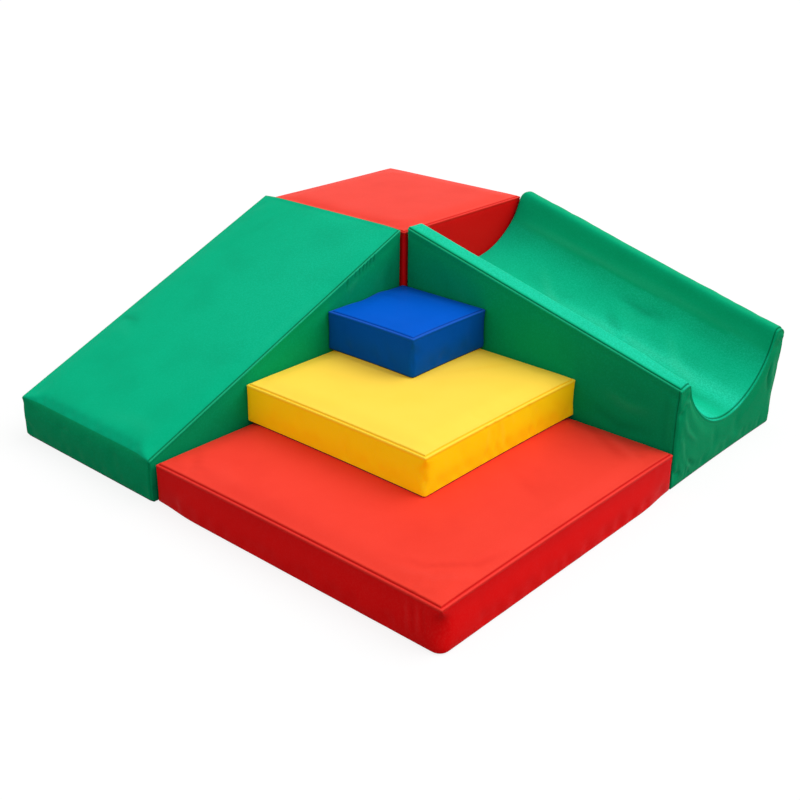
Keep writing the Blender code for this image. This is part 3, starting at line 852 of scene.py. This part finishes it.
    def rubbed(self, lattice):
        """Painted sheen along the rims and down the channel, in streaks along the folds of the cover."""
        y = lattice.points[:, 1]
        streaks = bell(y - 0.20, 0.040) + bell(y - 0.35, 0.040) + 0.8 * bell(y - 0.12, 0.025)
        in_channel = 0.16 + 0.42 * streaks * swell(lattice.x, 0.1, 0.5)
        rim = 0.50 * (1 - swell(y, 0.055, 0.010)) + 0.75 * bell(y - INNER_RIM, 0.005)
        painted_sheen = np.where((y > INNER_RIM) & (y < 0.50), in_channel, rim)
        return np.where(lattice.on["top"], painted_sheen * swell(lattice.s - self.ledge, 0.006, 0.006), 0)

    def shaded(self, lattice):
        # painted shade: part of the side colour also on the top towards the outer rim
        high = 0.45 * swell(lattice.points[:, 1], 0.44, 0.07)
        return np.maximum(super().shaded(lattice), np.where(lattice.on["top"], high, 0))

    def plain_top(self, x, y):
        return self.rim - RIM_FALL * x + 0 * y


# Seams and folds
def seam_relief(module, inward):
    """Height beside a sewn top edge: the bead along the ledge, the stitches, and the top's plump edge."""
    bead = BEAD * bell(inward - 0.5 * module.ledge, 0.34 * module.ledge)
    groove = GROOVE * bell(inward - module.ledge - STITCH_LINE * module.run, 0.0009)
    plump = PLUMP * bell(inward - module.ledge - module.run - 0.0030, 0.0034)
    return bead - groove + plump


def wall_relief(down):
    """The same on the side wall, below the edge."""
    return WALL_BEAD * bell(down - 0.0020, 0.0020) - WALL_GROOVE * bell(down - 0.0075, 0.0030)


def gathers(module, inward, along):
    """Small gathers that a seam's thread pulls into the cloth beside it, here and there."""
    waves = Ripples(module.seed, *GATHER_LENGTHS)
    places = Ripples(module.seed + 1, *GATHER_PATCHES)
    strength = np.clip(0.7 * places(along), 0, 1)
    rise = swell(inward, 0.004, 0.010) * np.exp(-np.maximum(inward - 0.012, 0) / 0.018)
    return GATHER * module.gathered * strength * rise * waves(along)


def upright_relief(module, lattice):
    """The sewn upright edges: a groove along the edge, deeper here and there, between plump sides."""
    total = np.zeros(len(lattice.points))
    below = swell(lattice.down, 0.004, 0.010)
    gap = module.length_x - lattice.x
    for wall in module.upright_seams:
        uneven = 0.65 + 0.35 * Ripples(module.seed + 9, *UPRIGHT_UNEVEN)(lattice.points[:, 2])
        groove = UPRIGHT_GROOVE * uneven * bell(gap - UPRIGHT_SEAM, 0.0017)
        plump = 0.0007 * bell(gap - 0.0015, 0.0020) + 0.0008 * bell(gap - 0.0120, 0.0050)
        total += np.where(lattice.on[wall], (plump - groove) * below, 0)
    return total


def fold_relief(module, lattice):
    """The listed folds, wrinkles and dents of a module's panels, along the normal."""
    total = np.zeros(len(lattice.points))
    plane = dict(top=[0, 1], south=[0, 2], east=[1, 2])
    for side, height, width, *places in module.folds:
        height, width = height / MM, width / MM
        spot = lattice.points[:, plane[side]]
        line = np.array(places) / MM
        best = np.full(len(spot), 1e9)
        share = np.zeros(len(spot))
        parts = len(line) - 1
        for i in range(parts):
            step = line[i + 1] - line[i]
            t = np.clip(((spot - line[i]) @ step) / (step @ step), 0, 1)
            distance = np.linalg.norm(spot - (line[i] + t[:, None] * step), axis=1)
            share = np.where(distance < best, (i + t) / parts, share)
            best = np.minimum(best, distance)
        ends = np.sin(np.pi * np.clip(share, 0.03, 0.97)) ** 0.7
        profile = bell(best, width) - FOLD_SINK * bell(best, FOLD_SINK_REACH * width)
        total += np.where(lattice.on[side], height * module.deepened.get(side, 1.0) * ends * profile, 0)
    return total


def window_relief(module, lattice):
    """The cover is pressed in behind its zip."""
    wall, ends, heights = module.zip_window()
    place = lattice.points[:, 0 if wall == "north" else 1]
    z = lattice.points[:, 2]
    reach = WINDOW_EDGE + 0.3 * WINDOW_TURN
    inside = (place > ends[0] - reach) & (place < ends[1] + reach)
    inside &= (z > heights[0] - reach) & (z < heights[1] + reach)
    return np.where(lattice.on[wall] & inside, -WINDOW_DEPTH, 0)


def seam_distance(module, lattice, inward):
    """Distance from the nearest line of stitches: round the top, and down the sewn upright edges."""
    nearest = np.where(lattice.on["top"], inward - module.ledge - STITCH_LINE * module.run, 1.0)
    for wall in module.upright_seams:
        nearest = np.where(lattice.on[wall], module.length_x - lattice.x - UPRIGHT_SEAM, nearest)
    return nearest.clip(-SEAM_SIGHT, SEAM_SIGHT)


def relief(module, lattice):
    """Height of the seams, gathers, waves and folds over the filled cover."""
    inward, along = module.stitching(lattice)
    top = lattice.on["top"]
    down = lattice.down
    height = np.where(top, seam_relief(module, inward) + gathers(module, inward, along), 0)
    end = lattice.on["south"] & (module.name == "ramp")
    below = np.where(end, 0, wall_relief(down) + WALL_GATHERS * gathers(module, down, along))
    height += np.where(~top, below, 0)
    height += np.where(end & ~top, seam_relief(module, inward), 0)
    drift = Ripples(module.seed + 5, *DRIFT_LENGTHS, waves=7, dimensions=2)
    spot = (lattice.points[:, 0] + lattice.points[:, 2], lattice.points[:, 1] - lattice.points[:, 2])
    flat_back = lattice.on["north"] | lattice.on["west"]
    height += np.where(flat_back, 0, DRIFT * drift(*spot) * swell(np.where(top, inward, down), run=0.05))
    height += fold_relief(module, lattice) + upright_relief(module, lattice) + window_relief(module, lattice)
    over_hem = swell(lattice.points[:, 2], 0.004, 0.018)
    return np.where(lattice.on["bottom"], 0, height * over_hem)


# Materials
def operator(operation, reflected=False):
    """An operator of Value, which adds its Math node."""

    def apply(self, other):
        return self.maths(operation, other, self) if reflected else self.maths(operation, self, other)

    return apply


class Value:
    """A shader socket that takes part in Python arithmetic."""

    def __init__(self, nodes, socket):
        self.nodes, self.socket = nodes, socket

    def maths(self, operation, first, second=0.0):
        return self.nodes.node("ShaderNodeMath", {"operation": operation}, {0: first, 1: second})

    __add__, __radd__ = operator("ADD"), operator("ADD", reflected=True)
    __sub__, __rsub__ = operator("SUBTRACT"), operator("SUBTRACT", reflected=True)
    __mul__, __rmul__ = operator("MULTIPLY"), operator("MULTIPLY", reflected=True)
    __truediv__, __rtruediv__ = operator("DIVIDE"), operator("DIVIDE", reflected=True)

    def between(self, low, high):
        """0 at low, 1 at high, smooth in between."""
        settings = {"interpolation_type": "SMOOTHSTEP"}
        inputs = {"Value": self, "From Min": low, "From Max": high}
        return self.nodes.node("ShaderNodeMapRange", settings, inputs)

    def near(self, middle, width):
        """1 at the middle, falling to 0 this far from it."""
        return (1 - self.maths("ABSOLUTE", self - middle) / width).clamped()

    def clamped(self):
        return self.nodes.node("ShaderNodeClamp", {}, {"Value": self})

    def whole(self, period):
        """Place within a repeating period, from 0 to 1."""
        return self.maths("FRACT", self / period)


class Nodes:
    """A node tree, written as values and one call for each node."""

    def __init__(self, tree):
        self.tree = tree

    def join(self, socket, value):
        if isinstance(value, Value):
            self.tree.links.new(value.socket, socket)
        else:
            socket.default_value = value

    def node(self, kind, settings, inputs, output=0):
        made = self.tree.nodes.new(kind)
        for key, value in settings.items():
            setattr(made, key, value)
        for key, value in inputs.items():
            self.join(made.inputs[key], value)
        return Value(self, made.outputs[output])

    def seen_plainly(self):
        """1 for what the camera, a reflection or clear stuff shows, 0 for what lights the object."""
        kinds = ("Camera", "Glossy", "Transmission")
        rays = [self.node("ShaderNodeLightPath", {}, {}, f"Is {kind} Ray") for kind in kinds]
        return (rays[0] + rays[1] + rays[2]).clamped()


class Finish(Nodes):
    """A material on one principled shader."""

    def __init__(self, name, coat=0.0, coat_roughness=0.3, specular=0.5, sheen=0.0):
        self.material = bpy.data.materials.new(name)
        self.material.use_nodes = True
        super().__init__(self.material.node_tree)
        self.shader = self.tree.nodes["Principled BSDF"]
        self.shader.inputs["Coat Weight"].default_value = coat
        self.shader.inputs["Coat Roughness"].default_value = coat_roughness
        self.shader.inputs["Specular IOR Level"].default_value = specular
        self.shader.inputs["Sheen Weight"].default_value = sheen
        self.place = self.node("ShaderNodeTexCoord", {}, {}, "Object")

    def attribute(self, name):
        return self.node("ShaderNodeAttribute", {"attribute_name": name}, {}, "Fac")

    def noise(self, scale, detail=2.0, roughness=0.5):
        inputs = {"Vector": self.place, "Scale": scale, "Detail": detail, "Roughness": roughness}
        return self.node("ShaderNodeTexNoise", {}, inputs)

    def cells(self, scale, feature="F1"):
        return self.node("ShaderNodeTexVoronoi", {"feature": feature}, {"Vector": self.place, "Scale": scale})

    def mixed(self, first, second, share):
        """A blend of two colours."""
        first = first if isinstance(first, Value) else (*first, 1)
        second = second if isinstance(second, Value) else (*second, 1)
        return self.node("ShaderNodeMix", {"data_type": "RGBA"}, {0: share, 6: first, 7: second}, 2)

    def bumped(self, height, strength, distance):
        return self.node("ShaderNodeBump", {}, {"Height": height, "Strength": strength, "Distance": distance})

    def set(self, bump=None, **sockets):
        if bump:
            sockets["normal"] = self.bumped(*bump)
        for key, value in sockets.items():
            value = (*value, 1) if isinstance(value, tuple) else value
            self.join(self.shader.inputs["IOR" if key == "ior" else key.replace("_", " ").title()], value)
        return self.material


def vinyl(name, colour, shade, side, painted_sheen, ior, glow=(0.0, 0.0, 0.0)):
    """Coated cloth: fine pressed grain, satin gloss, a little uneven, with painted shade in seams, fold
    hollows and on side walls, painted highlights on beads and folds, and a painted sheen.
    """
    finish = Finish(name, specular=0.5)
    # the glow is painted light: the vinyl gives it off though it is no lamp
    finish.set(ior=ior, emission_color=glow, emission_strength=1.0)
    grain = finish.noise(640, 3.0, 0.6)
    pores = finish.cells(820, "SMOOTH_F1")
    patches = finish.noise(240, 3.0, 0.65)
    cloudy = finish.noise(8, 3.0)
    seam = finish.attribute("seam")
    run = finish.attribute("run")
    on_fold = finish.attribute("fold")
    groove = seam.near(0.0, 0.0018)
    stitch = seam.near(0.0022, 0.0009) * run.whole(STITCH).near(0.5, 0.42).between(0.0, 0.3)
    rubbed = finish.attribute("rubbed")
    # painted sheen: its share from the cover, and a speckle of it everywhere
    speckled = rubbed * (0.5 + patches.between(0.35, 0.65)) + patches.between(0.42, 0.68) * 0.10
    hollow = finish.attribute("hollow")
    # painted shade: seam grooves and fold hollows take the shade colour; the cloudy tone and the darker
    # stitches are the cloth's own
    darker = (cloudy.between(0.35, 0.85) * 0.12 + groove * 0.90 + stitch * 0.25 + hollow * 0.60).clamped()
    # painted shade: the side walls take the side colour by the "side" share, then the painted sheen colour is
    # mixed in
    base = finish.mixed(finish.mixed(colour, side, finish.attribute("side")), painted_sheen, speckled.clamped())
    base = finish.mixed(base, shade, darker)
    # painted highlight: beads and raised folds mix towards a paler colour
    pale = tuple(0.16 + 0.84 * c for c in colour)
    base = finish.mixed(base, pale, (on_fold * (0.05 + patches * 0.08)).clamped())
    rough = 0.40 + patches * 0.16 + cloudy * 0.05 - on_fold * 0.05
    height = grain * 0.5 + pores * 0.5 + patches * 1.1 - stitch * 1.2
    return finish.set(base_color=base, roughness=rough, bump=(height, 0.30, 0.0005))


def foam_finish():
    finish = Finish("foam_cells", specular=0.2)
    pores = finish.cells(420)
    base = finish.mixed(*FOAM, finish.noise(25).between(0.3, 0.8))
    return finish.set(base_color=base, roughness=0.95, bump=(pores, 0.6, 0.0006))


def base_finish():
    """Black cloth with small rubber dots that grip the floor."""
    finish = Finish("non_slip_cloth", specular=0.3)
    weave = finish.noise(900)
    grip = finish.cells(160).near(0.0, 0.45).between(0.1, 0.6)
    base = finish.mixed(*BASE_CLOTH, grip * 0.8 + weave * 0.2)
    rough = 0.88 - grip * 0.25
    return finish.set(base_color=base, roughness=rough, bump=(grip + weave * 0.3, 0.5, 0.0006))


def strip_finish(name, colour, pitch, rough):
    """Hook or loop tape: rows of stiff hooks, or a brushed pile."""
    finish = Finish(name, specular=0.25, sheen=0.4)
    tufts = finish.cells(1 / pitch)
    fuzz = finish.noise(1400, 4.0, 0.7)
    dark = tuple(0.5 * c for c in colour)
    base = finish.mixed(colour, dark, (tufts * 0.9 + fuzz * 0.3).clamped())
    return finish.set(base_color=base, roughness=rough, bump=(1 - tufts + fuzz * 0.6, 0.8, 0.0008))


def tape_finish():
    """Woven zip tape, ribbed along its length."""
    finish = Finish("zip_tape_weave", specular=0.3)
    settings = {"wave_type": "BANDS", "bands_direction": "Z"}
    ribs = finish.node("ShaderNodeTexWave", settings, {"Vector": finish.place, "Scale": 180.0})
    fuzz = finish.noise(1600, 3.0)
    base = finish.mixed(*ZIP_TAPE, ribs * 0.6 + fuzz * 0.3)
    rough = 0.75 + fuzz * 0.1
    return finish.set(base_color=base, roughness=rough, bump=(ribs + fuzz, 0.5, 0.0003))


def coil_finish():
    """Moulded nylon of the zip's coil."""
    finish = Finish("zip_coil_nylon", specular=0.5)
    rubbed = finish.noise(500, 3.0, 0.6)
    base = finish.mixed(*ZIP_NYLON, rubbed.between(0.4, 0.7))
    rough = 0.34 + rubbed * 0.2
    return finish.set(base_color=base, roughness=rough, bump=(rubbed, 0.2, 0.0002))


def metal_finish():
    finish = Finish("zip_slider_metal", coat=0.2)
    worn = finish.noise(260, 4.0, 0.65)
    base = finish.mixed(*SLIDER_METAL, worn.between(0.4, 0.7))
    rough = 0.24 + worn * 0.22
    return finish.set(base_color=base, metallic=1.0, roughness=rough, bump=(worn, 0.2, 0.0002))


# Pieces
def point_values(obj, name, values):
    layer = obj.data.attributes.new(name, "FLOAT", "POINT")
    layer.data.foreach_set("value", values.astype(np.float32))


def sew_cover(module, finish):
    """The module's vinyl cover, filled, with its seams and folds."""
    lattice = Lattice(module, module.step, module.edge_rows(), WALL_ROWS, HEM_ROWS, fine=True)
    points = lattice.points + module.origin
    coarse, moves = filled(module)
    moves = lattice.carry_from(coarse, capped(module, coarse, moves))
    points = points + clipped(module, lattice, moves)
    cover = mesh_object(f"{module.name}_sewn_cover", points, lattice.faces())
    points = points + normals_of(cover) * relief(module, lattice)[:, None]
    x, y, z = (points - module.origin).T
    points[:, 2] = module.origin[2] + np.clip(z, FOOT - HEM_DROP, module.low_over(x, y))
    cover.data.vertices.foreach_set("co", points.astype(np.float32).ravel())
    inward, along = module.stitching(lattice)
    # "seam": places the painted shade of the grooves, and the stitches
    point_values(cover, "seam", seam_distance(module, lattice, inward))
    # the share of the painted sheen
    point_values(cover, "rubbed", module.rubbed(lattice))
    point_values(cover, "run", along)
    # "side": the share of the side colour's painted shade
    point_values(cover, "side", module.shaded(lattice))
    folds = fold_relief(module, lattice)
    # "hollow": painted shade in the hollows of the folds
    point_values(cover, "hollow", np.clip(-folds / DARK_DEPTH, 0, 1))
    # "fold": painted highlight on the bead and on raised folds
    on_bead = bell(inward - 0.3 * module.ledge, 0.6 * module.ledge)
    on_bead = np.where(module.pale_bead | (inward < module.length_x - lattice.x), on_bead, 0)
    point_values(cover, "fold", np.where(lattice.on["top"], on_bead, 0) + np.clip(folds / PALE_HEIGHT, 0, 1))
    finer = cover.modifiers.new("finer", "SUBSURF")
    finer.levels = finer.render_levels = 1
    cover.data.materials.append(finish)
    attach(cover, module.body)
    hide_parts(f"{module.name}_cover")


def cut_core(module, finish):
    """The foam block inside the cover."""
    lattice = Lattice(module, CORE_STEP, SLACK_ROWS, SLACK_WALL_ROWS, SLACK_HEM_ROWS)
    core = mesh_object(f"{module.name}_foam_block", lattice.points + module.origin, lattice.faces())
    points = lattice.points + module.origin - normals_of(core) * CORE_DEPTH
    core.data.vertices.foreach_set("co", points.astype(np.float32).ravel())
    core.data.materials.append(finish)
    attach(core, module.body)
    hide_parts(f"{module.name}_foam_core")


def lay_base(module, finish):
    """The non-slip sheet under the module, hemmed a little inside the cover's foot."""
    low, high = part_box(f"{module.name}_base_panel")
    lattice = Lattice(module, CORE_STEP, SLACK_ROWS, SLACK_WALL_ROWS, SLACK_HEM_ROWS)
    ring = lattice.points[lattice.ring][:, :2] + module.origin[:2]
    middle = ring.mean(0)
    size = np.array([high.x - low.x, high.y - low.y]) / 2
    ring = middle + (ring - middle) * (size - BASE_INSET) / np.abs(ring - middle).max(0)
    count = len(ring)
    points = [(x, y, z) for z in (low.z, high.z) for x, y in ring]
    faces = [list(range(count))[::-1], list(range(count, 2 * count))]
    faces += [[i, (i + 1) % count, count + (i + 1) % count, count + i] for i in range(count)]
    sheet = mesh_object(f"{module.name}_base_sheet", points, faces, smooth=False)
    sheet.data.materials.append(finish)
    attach(sheet, module.body)
    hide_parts(f"{module.name}_base_panel")


def zip_frame(node):
    """Of a zip's node: its middle outside face, length, and the directions along, up and out."""
    low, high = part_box(node)
    middle = (np.array(low) + np.array(high)) / 2
    if high.x - low.x > high.y - low.y:
        middle[1] = high.y
        return middle, high.x - low.x, np.array([1.0, 0, 0]), np.array([0, 0, 1.0]), np.array([0, 1.0, 0])
    middle[0] = low.x
    return middle, high.y - low.y, np.array([0, 1.0, 0]), np.array([0, 0, 1.0]), np.array([-1.0, 0, 0])


def wind_coil(module, finish):
    """The two rows of the zip's coil, meshed along the middle of its tape."""
    middle, length, along, up, out = zip_frame(f"{module.name}_zipper")
    points, faces = [], []
    count = int((length - 2 * COIL_END) / COIL_PITCH)
    for i in range(count):
        place = (i - (count - 1) / 2) * COIL_PITCH
        side = 1 if i % 2 else -1
        first = len(points)
        # one turn of the coil: an arched bar from the outer edge of its row over the middle line
        for share in COIL_SHARES:
            across = side * COIL_WIDTH * (0.5 - 0.62 * share)
            height = COIL_HEIGHT * (0.35 + 0.65 * math.sin(math.pi * min(0.12 + share, 1.0)))
            thick = COIL_PITCH * (0.36 + 0.16 * share)
            for turn in range(COIL_FACETS):
                angle = 2 * math.pi * turn / COIL_FACETS
                lift = max(height * (0.55 + 0.45 * math.sin(angle)), COIL_LIFT)
                shift = place + thick * math.cos(angle)
                points.append(tuple(middle + along * shift + up * across + out * lift))
        last = len(points) - COIL_FACETS
        for ring in range(first, last, COIL_FACETS):
            for turn in range(COIL_FACETS):
                a, b = ring + turn, ring + (turn + 1) % COIL_FACETS
                faces.append([a, b, b + COIL_FACETS, a + COIL_FACETS])
        faces += [list(range(first, first + COIL_FACETS))[::-1], list(range(last, last + COIL_FACETS))]
    coil = mesh_object(f"{module.name}_zip_coil", points, faces)
    coil.data.materials.append(finish)
    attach(coil, module.body)


# Studio
def look_camera():
    a, e, roll = (math.radians(v) for v in (CAMERA_AZIMUTH, CAMERA_ELEVATION, CAMERA_ROLL))
    back = Vector((math.sin(a) * math.cos(e), -math.cos(a) * math.cos(e), math.sin(e)))
    right = Vector((math.cos(a), math.sin(a), 0))
    up = back.cross(right)
    turned_right = math.cos(roll) * right + math.sin(roll) * up
    turned_up = math.cos(roll) * up - math.sin(roll) * right
    data = bpy.data.cameras.new("studio_camera")
    data.lens = CAMERA_LENS
    data.sensor_width = SENSOR_WIDTH
    camera = bpy.data.objects.new("studio_camera", data)
    bpy.context.scene.collection.objects.link(camera)
    place = Vector(CAMERA_TARGET) + back * CAMERA_DISTANCE
    turn = Matrix((turned_right, turned_up, back)).transposed()
    camera.matrix_world = Matrix.Translation(place) @ turn.to_4x4()
    bpy.context.scene.camera = camera


def add_sun(name, source, strength, angle):
    """A soft studio light that is as bright at any distance."""
    data = bpy.data.lights.new(name, "SUN")
    data.energy = strength
    data.angle = math.radians(angle)
    lamp = bpy.data.objects.new(name, data)
    lamp.location = Vector(source) * 3
    lamp.rotation_euler = Vector(source).to_track_quat("Z", "Y").to_euler()
    bpy.context.scene.collection.objects.link(lamp)


def light_world():
    world = bpy.data.worlds.new("studio")
    bpy.context.scene.world = world
    world.use_nodes = True
    nodes = Nodes(world.node_tree)
    background = world.node_tree.nodes["Background"]
    nodes.join(background.inputs["Color"], (1, 1, 1, 1))
    nodes.join(background.inputs["Strength"], WORLD_FILL + nodes.seen_plainly() * (1 - WORLD_FILL))


def lay_floor():
    corners = ((-1, -1), (1, -1), (1, 1), (-1, 1))
    points = [(x * FLOOR_REACH, y * FLOOR_REACH, FLOOR_LEVEL) for x, y in corners]
    floor = mesh_object("studio_floor", points, [[0, 1, 2, 3]], smooth=False)
    finish = Finish("pale_floor", specular=0.0)
    glow = finish.seen_plainly() * FLOOR_GLOW
    finish.set(base_color=FLOOR_COLOUR, roughness=1.0, emission_color=(1, 1, 1), emission_strength=glow)
    floor.data.materials.append(finish.material)


def main():
    bpy.context.scene.view_settings.view_transform = "Standard"
    look_camera()
    light_world()
    lay_floor()
    add_sun("key_light", KEY_FROM, KEY_STRENGTH, KEY_ANGLE)
    finishes = {
        "red_vinyl": vinyl("red_vinyl_cloth", *RED, 1.15),
        "green_vinyl": vinyl("green_vinyl_cloth", *GREEN, 1.07),
        "yellow_vinyl": vinyl("yellow_vinyl_cloth", *YELLOW, 1.20, YELLOW_PAINTED_GLOW),
        "blue_vinyl": vinyl("blue_vinyl_cloth", *BLUE, 1.07),
    }
    foam, base, coil = foam_finish(), base_finish(), coil_finish()
    for kind in (Corner, Ramp, Slide, LowStep, MiddleStep, TopStep):
        module = kind()
        sew_cover(module, finishes[module.vinyl])
        cut_core(module, foam)
        lay_base(module, base)
        wind_coil(module, coil)
    looks = {
        "hook_strip": strip_finish("hook_tape_rows", HOOK_TAPE, HOOK_PITCH, 0.7),
        "loop_strip": strip_finish("loop_tape_pile", LOOP_TAPE, LOOP_PITCH, 0.95),
        "zip_slider": metal_finish(),
        "zipper": tape_finish(),
    }
    for name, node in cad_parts.items():
        for word, finish in looks.items():
            if word in name:
                node.data.materials.clear()
                node.data.materials.append(finish)


main()
